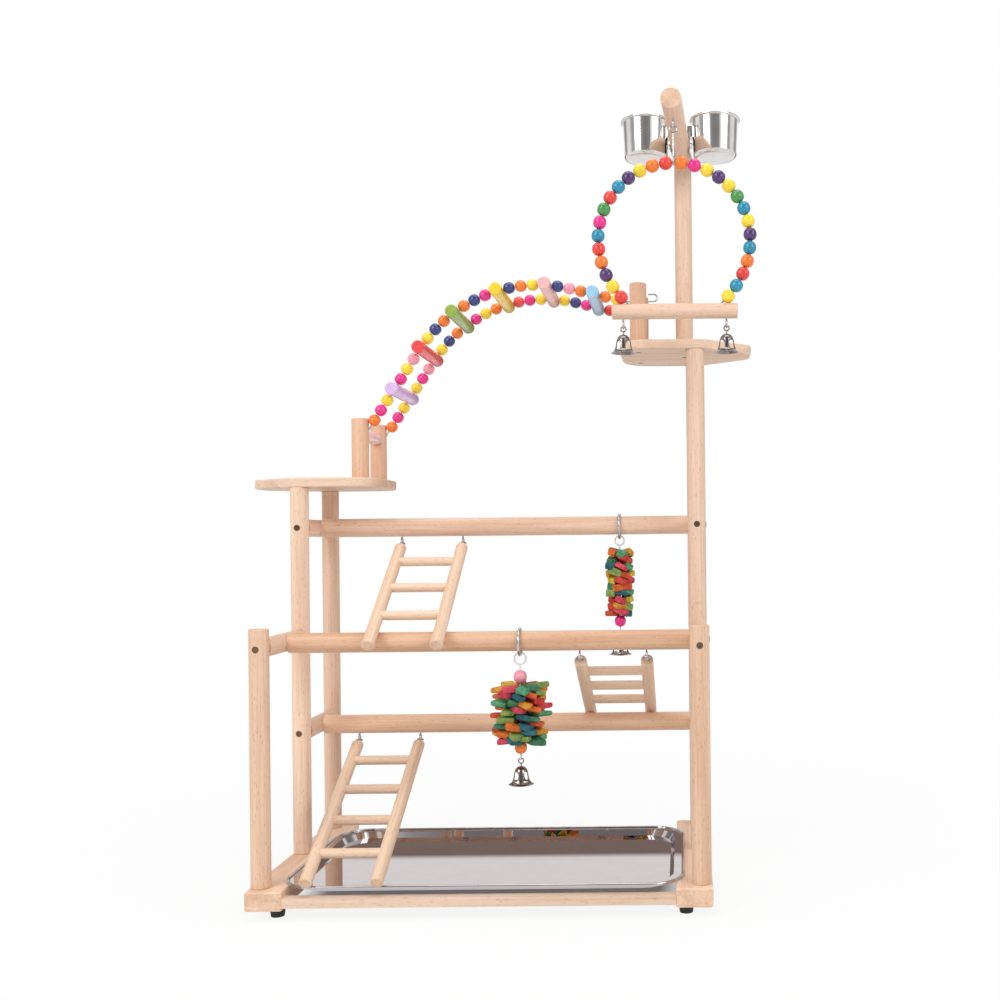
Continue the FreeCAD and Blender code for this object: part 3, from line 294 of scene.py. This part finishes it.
def lathe(mesh, profile, seat, dye, steps=28):
    """Turn a closed profile of (radius, height) about the seat's own Z."""
    rings = []
    for step in range(steps):
        angle = 2 * math.pi * step / steps
        cos, sin = math.cos(angle), math.sin(angle)
        rings.append([mesh.verts.new(seat @ Vector((r * cos, r * sin, h))) for r, h in profile])
    for here, there in zip(rings, rings[1:] + rings[:1]):
        for i in range(len(profile)):
            j = (i + 1) % len(profile)
            face = mesh.faces.new((here[i], there[i], there[j], here[j]))
            face.material_index = dye
            face.smooth = True


def mirrored(points):
    """The same points below the middle, in the opposite order."""
    return [(radius, -height) for radius, height in reversed(points)]


def bead_profile(diameter, steps=15):
    """A turned bead: a ball with fuller shoulders, its hole's mouths flattened and eased."""
    ball, hole = diameter / 2, BORE / 2
    edge = math.asin((MOUTH_WIDTH * hole / ball) ** (1 / FULLNESS))
    outside = []
    for step in range(steps + 1):
        angle = edge + (math.pi - 2 * edge) * step / steps
        rise = math.copysign(abs(math.cos(angle)) ** FULLNESS, math.cos(angle))
        outside.append((ball * math.sin(angle) ** FULLNESS, -ball * rise))
    top = outside[-1][1]
    mouth = [(width * hole, rise * top) for width, rise in MOUTH_STEPS]
    return outside + mouth + mirrored(mouth)


def rung_profile(length):
    """A turned rung with softly rounded ends."""
    half, rim = length / 2, RUNG / 2
    end = []
    for degrees in (0, 30, 60, 90):
        out, over = math.cos(math.radians(degrees)), math.sin(math.radians(degrees))
        end.append((rim - RUNG_EASE + RUNG_EASE * out, half - RUNG_EASE + RUNG_EASE * over))
    end += [(radius, half) for radius in (rim - 1.6 * RUNG_EASE, RUNG_DISC, RUNG_CENTRE)]
    return mirrored(end) + end


def put_in_scene(name, data):
    """Make an object of a mesh, lamp or camera and put it in the scene."""
    made = bpy.data.objects.new(name, data)
    bpy.context.scene.collection.objects.link(made)
    return made


def set_down(name, mesh):
    """Turn built faces into mesh data."""
    data = bpy.data.meshes.new(name)
    mesh.to_mesh(data)
    mesh.free()
    return data


def piece(name, mesh, finishes, body, slot, *nodes):
    """Make an object of a mesh that stands for sub-parts and moves with a body."""
    bmesh.ops.recalc_face_normals(mesh, faces=mesh.faces)
    made = put_in_scene(name, set_down(name, mesh))
    for finish in finishes:
        made.data.materials.append(finish)
    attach(made, body)
    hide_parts(*nodes)


def strung(name, spots, profile, colours, body, *nodes):
    """Beads at spots of (place, heading), each turned from one profile in its own dye."""
    used = sorted(set(colours))
    mesh = bmesh.new()
    for (spot, heading), colour in zip(spots, colours):
        seat = Matrix.Translation(spot) @ UP.rotation_difference(heading).to_matrix().to_4x4()
        lathe(mesh, profile, seat, used.index(colour))
    piece(name, mesh, [dyes[colour] for colour in used], body, "bead_paint", *nodes)


def on_arch(angle):
    """Point and heading on the round stretch of a strand."""
    out = Vector((math.cos(angle), 0, math.sin(angle)))
    return ARCH + out * ARCH_RADIUS, Vector((math.sin(angle), 0, -math.cos(angle)))


def bridge_at(along):
    """Point and heading on a strand, measured from the left stub's face."""
    start, heading = on_arch(ARCH_START)
    run = (start.x + STUB_FACE) / heading.x
    bend = (ARCH_START - ARCH_END) * ARCH_RADIUS
    if along < run:
        return start - heading * (run - along), heading
    if along > run + bend:
        end, heading = on_arch(ARCH_END)
        return end + heading * (along - run - bend), heading
    return on_arch(ARCH_START - (along - run) / ARCH_RADIUS)


along = (BEAD / 2 + GAP) / math.sin(ARCH_START) - BEAD / 2
bead_spots, rung_spots = [], []
for group, beads in enumerate(BEAD_GROUPS):
    if group > 0:
        rung_spots.append(bridge_at(along + RUNG / 2))
        along += RUNG + GAP
    for bead in range(beads):
        bead_spots.append(bridge_at(along + BEAD / 2))
        along += BEAD + GAP
for name, side, colours in (("front", -1, FRONT_DYES), ("rear", 1, REAR_DYES)):
    offset = BACK * (BRIDGE_Y + side * STRAND_GAP / 2)
    spots = [(spot + offset, heading) for spot, heading in bead_spots]
    strung("bridge_strand_" + name, spots, bead_profile(BEAD), colours, "frame", "bridge_beads")
spots = [(spot + BACK * BRIDGE_Y, BACK) for spot, heading in rung_spots]
strung("bridge_rungs_dyed", spots, rung_profile(RUNG_LENGTH), RUNG_DYES, "frame", "bridge_rungs")
# The spreader takes the lighter copy of blush: painted light that offsets the stubs' shadow on it.
spreader_spot = Vector((-STUB_REACH, BRIDGE_Y, SPREADER_Z))
spreader_length = STRAND_GAP - STUB + 2 * SPREADER_SEAT
strung("bridge_spreader", [(spreader_spot, BACK)], rung_profile(spreader_length), ["petal"],
       "frame", "bridge_rungs")
dress(zinc_wire, "bridge_wires")

# Bead swing: slightly larger beads on a hoop of zinc-plated wire sprung into a
# round beech perch, hung by a wire hanger from the eye under the top perch.
HANGER_DROP = 0.043
HOOP, LEG, LEG_ANGLE = 0.0885, 0.100, math.radians(49)
HOOP_BEAD, FIRST_BEAD = 0.0154, 0.0014
HOOP_DYES = {
    -1: "red orange yellow purple blue red green magenta blue red orange purple yellow red".split(),
    1: "orange magenta yellow purple yellow green blue yellow purple blue orange red blue yellow".split(),
}
hinges = [joint for joint in frame["joints"] if joint["type"] == "hinge"]
pivots = {joint["name"]: Vector(joint["pos_m"]) for joint in hinges}
hoop_middle = pivots["swing_sway"] - UP * (HANGER_DROP + HOOP)


def hoop_at(along, side):
    """Point and heading on the hoop, measured from its top down one side."""
    quarter = math.pi / 2 * HOOP
    if along < quarter:
        angle = along / HOOP
        out = Vector((side * math.sin(angle), 0, math.cos(angle)))
        return hoop_middle + out * HOOP, Vector((side * math.cos(angle), 0, -math.sin(angle)))
    angle = min((along - quarter) / LEG, LEG_ANGLE)
    heading = Vector((-side * math.sin(angle), 0, -math.cos(angle)))
    reach = HOOP - LEG * (1 - math.cos(angle))
    point = hoop_middle + Vector((side * reach, 0, -LEG * math.sin(angle)))
    return point + heading * (along - quarter - angle * LEG), heading


spots, colours = [], []
for side, side_dyes in HOOP_DYES.items():
    for count, colour in enumerate(side_dyes):
        spots.append(hoop_at(FIRST_BEAD + HOOP_BEAD / 2 + count * (HOOP_BEAD + GAP), side))
        colours.append(colour)
strung("swing_hoop_beads", spots, bead_profile(HOOP_BEAD), colours, "swing", "swing_beads")
dress(zinc_wire, "swing_hanger", "swing_wire", "swing_bell_eyes")
dress(cross_beech, "swing_perch")

# Bells: stamped nickel-plated sheet with four arched windows over a rim band,
# each with a ball clapper on a wire. They hang by small loops.
NICKEL = {"bright": (0.36, 0.325, 0.305), "dull": (0.20, 0.175, 0.165), "roughness": 0.22, "scratch": 0.1}
dress(steel("nickel_bell", **NICKEL), "swing_bell_left", "swing_bell_right", "big_toy_bell",
      "small_toy_bell", "swing_clapper_left", "swing_clapper_right", "big_toy_clapper", "small_toy_clapper")

# Cups: drawn from polished stainless sheet with rolled rims. Their strap hooks
# hang over two plates that one bolt holds to the top perch.
STAINLESS = {"bright": (0.74, 0.72, 0.71), "dull": (0.64, 0.62, 0.61), "roughness": 0.10, "scratch": 0.02}
dress(steel("stainless_sheet", **STAINLESS), "cup_left", "cup_right", "cup_brackets", "cup_bolt")

# Ladders: thin pale dowels, the rungs let into bored rails. Each hangs by two
# zinc-plated hooks and leans at its own slope, in degrees from upright.
LADDER_TONE = {"pale": (0.83, 0.61, 0.45), "deep": (0.73, 0.505, 0.35)}
LADDER_LEANS = {"upper": -54.5, "lower": -60.6, "small": 60.05}
rung_beech = beech("ladder_rung", ACROSS, **LADDER_TONE)
for ladder, lean in LADDER_LEANS.items():
    slope = Euler((math.radians(lean), 0, 0)).to_matrix() @ UP
    dress(beech("ladder_rail_" + ladder, slope, **LADDER_TONE), ladder + "_ladder_rails")
    dress(rung_beech, ladder + "_ladder_rungs")
    dress(zinc_wire, ladder + "_ladder_hooks")

# Chew toys: rows of short dyed pine chips, split to rough points and tumbled on
# a wire between beads. A ring round a perch bar and a coated wire loop hold each.
TOYS = {
    "big": {"top": -0.051, "rows": 8, "step": 0.0086, "chips": 8, "tumble": 1.0,
            "length": 0.038, "width": 0.0205, "belly": 0.022, "thickness": 0.0073},
    "small": {"top": -0.033, "rows": 10, "step": 0.0085, "chips": 5, "tumble": 1.5,
              "length": 0.0205, "width": 0.0195, "belly": 0.0125, "thickness": 0.0088},
}
TURN_PLAY, LEAN_PLAY, DROOP_PLAY, MEAN_LEAN = 12, 16, 6, -10
LIFT_PLAY = 0.0014
UNEVEN_LENGTH, UNEVEN_WIDTH, UNEVEN_THICKNESS = (0.82, 1.04), (0.85, 1.2), (0.75, 1.1)
WORN_LENGTH, WORN_WIDTH = (0.94, 1.0), (0.86, 1.04)
WORN_LAYERS = ((-0.5, 0.86), (-0.36, 0.97), (0, 1), (0.36, 0.97), (0.5, 0.86))
CHIP_ROOT, CHIP_MIDDLE, SHOULDER = (0.0022, 0.0006), 0.9, 0.62
NECK, NECK_WIDTH, TIP_WIDTH = 0.55, 0.52, 0.10
CHIP_STAINS = {
    "orange": (0.82, 0.19, 0.025), "fern": (0.27, 0.40, 0.10), "red": (0.66, 0.05, 0.035),
    "green": (0.05, 0.22, 0.10), "yellow": (0.78, 0.54, 0.05), "teal": (0.02, 0.15, 0.19),
    "rose": (0.74, 0.07, 0.11), "amber": (0.82, 0.36, 0.03), "mint": (0.10, 0.38, 0.19),
    "rust": (0.70, 0.10, 0.03),
}
LOW_BEAD_DYES = {"big": "orange", "small": "magenta"}
TOP_BEAD = 0.016
RING_WIRE, BAR_UNDERSIDE, RING_UNDERSIDE = 0.0019, 0.012, 0.0188


def stained(name, colour):
    """Rough split pine soaked in dye: dull, with open grain and lighter torn fibres."""
    finish, tree, shader = new_finish("stain_" + name)
    place = own_place(tree)
    soak = noise(tree, place, Scale=130.0, Detail=4.0)
    torn = noise(tree, stretched(tree, place, (300, 300, 1500)), Scale=1.0, Detail=4.0)
    dark = tuple(level * 0.6 for level in colour)
    light = tuple(min(1, level * 1.1 + 0.02) for level in colour)
    tone = ramp(tree, soak, (0.3, dark), (0.65, light))
    fibre = ramp(tree, torn, (0.35, grey(0.62)), (0.65, grey(1)))
    rough = remap(tree, torn, to=(0.85, 0.6))
    skin(tree, shader, glaze(tree, tone, fibre, 0.7), rough, torn, strength=0.5, depth=0.0006)
    shader.inputs["Specular IOR Level"].default_value = 0.25
    return finish


def coated_wire(name, axis):
    """Zinc-plated wire whose loop and stem, under the ring on the bar, are coated pale."""
    finish = steel(name, **ZINC)
    tree = finish.node_tree
    shader = tree.nodes["Principled BSDF"]
    place = own_place(tree)
    spot = add(tree, "SeparateXYZ", Vector=place).outputs
    in_ring = sums(tree, "COMPARE", spot["X"], axis.x, RING_WIRE)
    below_bar = sums(tree, "LESS_THAN", spot["Z"], axis.z - BAR_UNDERSIDE)
    below_ring = sums(tree, "LESS_THAN", spot["Z"], axis.z - RING_UNDERSIDE)
    coated = sums(tree, "MAXIMUM", below_ring, sums(tree, "SUBTRACT", below_bar, in_ring))
    metal = shader.inputs["Base Color"].links[0].from_socket
    smudge = noise(tree, place, Scale=800.0)
    coating = ramp(tree, smudge, (0.3, (0.72, 0.72, 0.71)), (0.7, (0.84, 0.84, 0.83)))
    tone = add(tree, "MixRGB", Fac=coated, Color1=metal, Color2=coating).outputs[0]
    tree.links.new(tone, shader.inputs["Base Color"])
    tree.links.new(sums(tree, "SUBTRACT", 1.0, coated), shader.inputs["Metallic"])
    return finish


stains = [stained(name, colour) for name, colour in CHIP_STAINS.items()]
chance = random.Random(7)


def play(most):
    return chance.uniform(-most, most)


def chip(mesh, seat, length, width, belly, thickness, stain):
    """One split chip: a thick plate pointed at both ends, with uneven worn edges."""
    half, taper = width / 2, length - belly
    edge = [CHIP_ROOT, (belly * SHOULDER, half * SHOULDER), (belly, half),
            (belly + taper * NECK, half * NECK_WIDTH), (length, half * TIP_WIDTH)]
    outline = [(x, -y) for x, y in edge] + edge[::-1]
    outline = [(x * chance.uniform(*WORN_LENGTH), y * chance.uniform(*WORN_WIDTH)) for x, y in outline]
    middle = belly * CHIP_MIDDLE
    layers = []
    for level, shrink in WORN_LAYERS:
        drawn_in = [(middle + (x - middle) * shrink, y * shrink) for x, y in outline]
        layers.append([mesh.verts.new(seat @ Vector((x, y, level * thickness))) for x, y in drawn_in])
    faces = [mesh.faces.new(reversed(layers[0])), mesh.faces.new(layers[-1])]
    for low, high in zip(layers, layers[1:]):
        for i in range(len(outline)):
            j = (i + 1) % len(outline)
            faces.append(mesh.faces.new((low[i], low[j], high[j], high[i])))
    for face in faces:
        face.material_index = stain


for toy, size in TOYS.items():
    axis = pivots[toy + "_toy_sway"]
    mesh = bmesh.new()
    deck = []
    for row in range(size["rows"]):
        middle = axis + UP * (size["top"] - (row + 0.5) * size["step"])
        row_turn = chance.uniform(0, 360 / size["chips"])
        for count in range(size["chips"]):
            turn = row_turn + 360 * count / size["chips"] + play(TURN_PLAY)
            lean = size["tumble"] * play(LEAN_PLAY) + MEAN_LEAN
            droop = size["tumble"] * play(DROOP_PLAY)
            seat = Matrix.Translation(middle + UP * (size["tumble"] * play(LIFT_PLAY)))
            for degrees, about in ((turn, "Z"), (droop, "Y"), (lean, "X")):
                seat = seat @ Matrix.Rotation(math.radians(degrees), 4, about)
            deck = deck or chance.sample(range(len(stains)), len(stains))
            length = size["length"] * chance.uniform(*UNEVEN_LENGTH)
            width = size["width"] * chance.uniform(*UNEVEN_WIDTH)
            thickness = size["thickness"] * chance.uniform(*UNEVEN_THICKNESS)
            chip(mesh, seat, length, width, size["belly"], thickness, deck.pop())
    piece(toy + "_toy_chip_rows", mesh, stains, toy + "_toy", "chip_stain", toy + "_toy_chips")
for toy, size in TOYS.items():
    axis = pivots[toy + "_toy_sway"]
    dress(coated_wire(toy + "_toy_wire", axis), toy + "_toy_hanger")
    low = axis + UP * (size["top"] - size["rows"] * size["step"] - GAP - BEAD / 2)
    strung(toy + "_toy_low_bead", [(low, UP)], bead_profile(BEAD), [LOW_BEAD_DYES[toy]],
           toy + "_toy", toy + "_toy_beads")
    if toy == "big":
        high = axis + UP * (size["top"] + TOP_BEAD / 2)
        strung("big_toy_top_bead", [(high, UP)], bead_profile(TOP_BEAD), ["pink"],
               "big_toy", "big_toy_beads")

# Tray: a shallow pan pressed from polished stainless sheet, with a rolled rim.
# It lies loose on the beams and slides out at the back.
TRAY_SHEET = {"bright": (0.565, 0.515, 0.52), "dull": (0.54, 0.49, 0.495), "roughness": 0.004,
              "scratch": 0.0004}
dress(steel("tray_sheet", **TRAY_SHEET), "tray")

# Studio floor: a sheet of plain white paper. The lens and polished metal see it
# as white, apart from the stand's soft shadow and a painted shade under the tray:
# a fixed patch where the white glow is taken away, so it stays when the tray is out.
FLOOR_REACH = 6
SHADOW_NEAR, SHADOW_FAR, SHADOW_WHITE = 0.4, 1.2, 0.88
PAINTED_SHADE_Y, PAINTED_SHADE_UNDER_TRAY = 0.015, 0.82
PAINTED_SHADE_SIDES, PAINTED_SHADE_ENDS = (0.24, 0.20), (0.12, 0.10)
WHITE = (1, 1, 1, 1)
floor_mesh = bmesh.new()
bmesh.ops.create_grid(floor_mesh, x_segments=1, y_segments=1, size=FLOOR_REACH)
floor = put_in_scene("studio_floor", set_down("studio_floor", floor_mesh))


def shown(tree):
    """1 for what the lens sees, and 1 for what metal and glass show."""
    path = add(tree, "LightPath").outputs
    return path["Is Camera Ray"], sums(tree, "MAXIMUM", path["Is Glossy Ray"], path["Is Transmission Ray"])


paper, tree, shader = new_finish("white_paper")
shader.inputs["Base Color"].default_value = (*grey(0.86), 1)
shader.inputs["Roughness"].default_value = 0.9
place = own_place(tree)
away = add(tree, "VectorMath", {"operation": "LENGTH"}, Vector=place).outputs["Value"]
fade = remap(tree, away, span=(SHADOW_NEAR, SHADOW_FAR), to=(SHADOW_WHITE, 1.0))
spot = add(tree, "SeparateXYZ", Vector=place).outputs
# Painted shade under the tray: the white glow is taken away in this fixed patch.
painted_shade_across = remap(tree, sums(tree, "ABSOLUTE", spot["X"]), span=PAINTED_SHADE_SIDES)
from_middle = sums(tree, "ABSOLUTE", sums(tree, "SUBTRACT", spot["Y"], PAINTED_SHADE_Y))
painted_shade_deep = remap(tree, from_middle, span=PAINTED_SHADE_ENDS)
painted_tray_shade = sums(tree, "MULTIPLY", sums(tree, "MULTIPLY", painted_shade_across, painted_shade_deep), PAINTED_SHADE_UNDER_TRAY)
share = sums(tree, "MULTIPLY", sums(tree, "MAXIMUM", *shown(tree)), sums(tree, "SUBTRACT", fade, painted_tray_shade))
blend = add(tree, "MixShader", Fac=share)
tree.links.new(shader.outputs[0], blend.inputs[1])
tree.links.new(add(tree, "Emission", Color=WHITE, Strength=1.0).outputs[0], blend.inputs[2])
tree.links.new(blend.outputs[0], tree.nodes["Material Output"].inputs["Surface"])
floor.data.materials.append(paper)

# Studio room: soft light from all round, and a white background for the lens.
# Metal shows the same white between grey screens, and a dark skirting behind.
SCREENS = ((0, 0.36), (20, 0.45), (30, 1.5), (44, 1.5), (56, 0.8), (71, 0.62), (86, 1.0), (99, 1.45),
           (115, 0.8), (131, 0.55), (150, 1.1), (180, 1.4))
HEIGHTS = ((0.0, 0.95), (0.18, 0.84), (0.45, 0.38), (1.0, 0.69))
UMBER, SKIRTING_TOP, WALL_FOOT = (0.26, 0.195, 0.172), 0.2840, 0.2852
world = bpy.data.worlds.new("studio")
world.use_nodes = True
bpy.context.scene.world = world
tree = world.node_tree
way = add(tree, "SeparateXYZ", Vector=add(tree, "TexCoord").outputs["Generated"]).outputs
ahead = sums(tree, "MULTIPLY", way["Y"], -1.0)
round_turn = sums(tree, "ARCTAN2", sums(tree, "ABSOLUTE", way["X"]), ahead)
bearing = sums(tree, "DIVIDE", round_turn, math.pi)
screens = ramp(tree, bearing, *((degrees / 180, grey(level)) for degrees, level in SCREENS))
heights = ramp(tree, way["Z"], *((height, grey(level)) for height, level in HEIGHTS))
lens_sees, metal_shows = shown(tree)
open_room = remap(tree, screens, span=(0.8, 1.1))
mirrored_white = sums(tree, "MULTIPLY", metal_shows, open_room)
lit = glaze(tree, heights, screens, 1.0)
room = add(tree, "MixRGB", Fac=mirrored_white, Color1=lit, Color2=WHITE).outputs[0]
behind = remap(tree, bearing, span=(0.75, 0.82))
rise = sums(tree, "DIVIDE", way["Z"], sums(tree, "MAXIMUM", way["Y"], 0.001))
skirting = ramp(tree, rise, (0.0, UMBER), (SKIRTING_TOP, UMBER), (WALL_FOOT, grey(1)), (1.0, grey(1)))
room = glaze(tree, room, skirting, behind)
backdrop = add(tree, "MixRGB", Fac=lens_sees, Color1=room, Color2=WHITE).outputs[0]
sky = tree.nodes["Background"]
tree.links.new(backdrop, sky.inputs["Color"])
sky.inputs["Strength"].default_value = 1.0

# Lamps: three wide soft boxes, one at the front left, a weaker one at the front
# right and one above, each turned to the middle of the stand.
for name, spot, target, size, power in (("left", (-1.6, -1.9, 1.9), (0, 0, 0.45), 1.3, 31),
                                        ("right", (1.9, -1.5, 1.5), (0, 0, 0.5), 1.2, 17),
                                        ("top", (0.1, -0.2, 2.6), (0, 0, 0.4), 1.6, 19)):
    lamp = bpy.data.lights.new("soft_" + name, "AREA")
    lamp.size = size
    lamp.energy = power
    stand = put_in_scene("soft_" + name, lamp)
    stand.location = spot
    stand.rotation_euler = (Vector(target) - Vector(spot)).to_track_quat("-Z", "Y").to_euler()

# Camera: the photograph's viewpoint, a little under the upper bar and to the
# right of the middle. The lens looks straight ahead and is shifted to frame.
CAMERA_ROLL = 0.01
lens = bpy.data.cameras.new("camera")
lens.lens = 40.32
lens.sensor_width = 36
lens.shift_x = -0.1821
lens.shift_y = 0.0373
camera = put_in_scene("camera", lens)
camera.location = (0.2313, -1.402, 0.425)
camera.rotation_euler = (math.radians(90), CAMERA_ROLL, 0)
bpy.context.scene.camera = camera
bpy.context.scene.view_settings.view_transform = "Standard"
